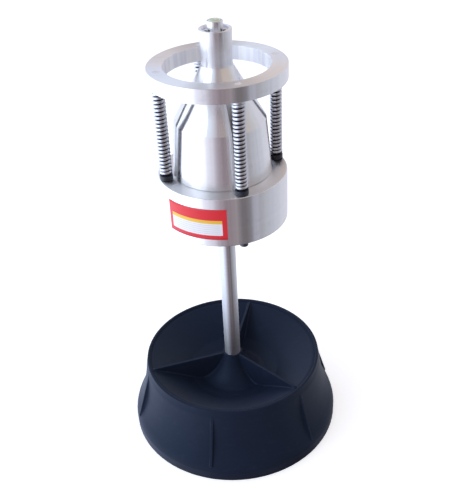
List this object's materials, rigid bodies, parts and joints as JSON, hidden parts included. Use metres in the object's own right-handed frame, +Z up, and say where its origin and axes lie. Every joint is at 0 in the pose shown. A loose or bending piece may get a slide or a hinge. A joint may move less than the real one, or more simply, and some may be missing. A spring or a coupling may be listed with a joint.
{
  "type": "bubble wheel balancer",
  "caption": "Free-standing bubble wheel balancer: a sprung support ring round a centring cone, on a head that tilts on a post over a ribbed moulded base, under a round vial.",
  "frame": {"origin": "on the floor, on the axis of the post", "axes": "+Z up along the post; the side that carries the label in the picture faces -Y and -X"},
  "size_m": [0.254, 0.254, 0.499],
  "materials": {
    "base_moulding": "black moulded plastic with a soft sheen",
    "bright_steel": "bright drawn steel",
    "zinc_steel": "zinc plated",
    "hard_steel": "hardened and ground",
    "turned_aluminium": "fine turned, bare",
    "black_steel": "black oxide",
    "black_nylon": "black nylon",
    "spring_steel": "bright spring wire",
    "vial_glass": "clear glass over a green liquid"
  },
  "bodies": {
    "stand": {"base": "base_moulding", "post": "bright_steel", "post_bolt": "zinc_steel", "post_washer": "zinc_steel"},
    "cup": {"pivot_cup": "hard_steel"},
    "ball": {"pivot_ball": "hard_steel"},
    "head": {"pivot_seat": "hard_steel", "hub_cone": "turned_aluminium", "flange_block": "turned_aluminium", "hub_screw_1": "black_steel", "hub_screw_2": "black_steel", "hub_screw_3": "black_steel", "hub_screw_4": "black_steel", "vial_holder": "bright_steel", "vial": "vial_glass", "level_screw_1": "black_steel", "level_screw_2": "black_steel", "level_screw_3": "black_steel", "spring_seat_1": "black_nylon", "spring_seat_2": "black_nylon", "spring_seat_3": "black_nylon", "spring_seat_4": "black_nylon", "spring_1": "spring_steel", "spring_2": "spring_steel", "spring_3": "spring_steel", "spring_4": "spring_steel"},
    "ring": {"support_ring": "turned_aluminium", "guide_rod_1": "black_steel", "guide_rod_2": "black_steel", "guide_rod_3": "black_steel", "guide_rod_4": "black_steel"}
  },
  "joints": [
    {"name": "head_turn", "type": "hinge", "parent": "stand", "child": "cup", "pos_m": [0, 0, 0.47], "axis": [0, 0, 1], "continuous": true},
    {"name": "head_tilt_side", "type": "hinge", "parent": "cup", "child": "ball", "pos_m": [0, 0, 0.47], "axis": [1, 0, 0], "range_deg": [-2.5, 2.5]},
    {"name": "head_tilt_fore", "type": "hinge", "parent": "ball", "child": "head", "pos_m": [0, 0, 0.47], "axis": [0, 1, 0], "range_deg": [-2.5, 2.5]},
    {"name": "ring_sink", "type": "slide", "parent": "head", "child": "ring", "axis": [0, 0, -1], "range_m": [0, 0.045], "stiffness_N_per_m": 1500, "springref_m": -0.01, "deforming": ["spring_1", "spring_2", "spring_3", "spring_4"]}
  ]
}
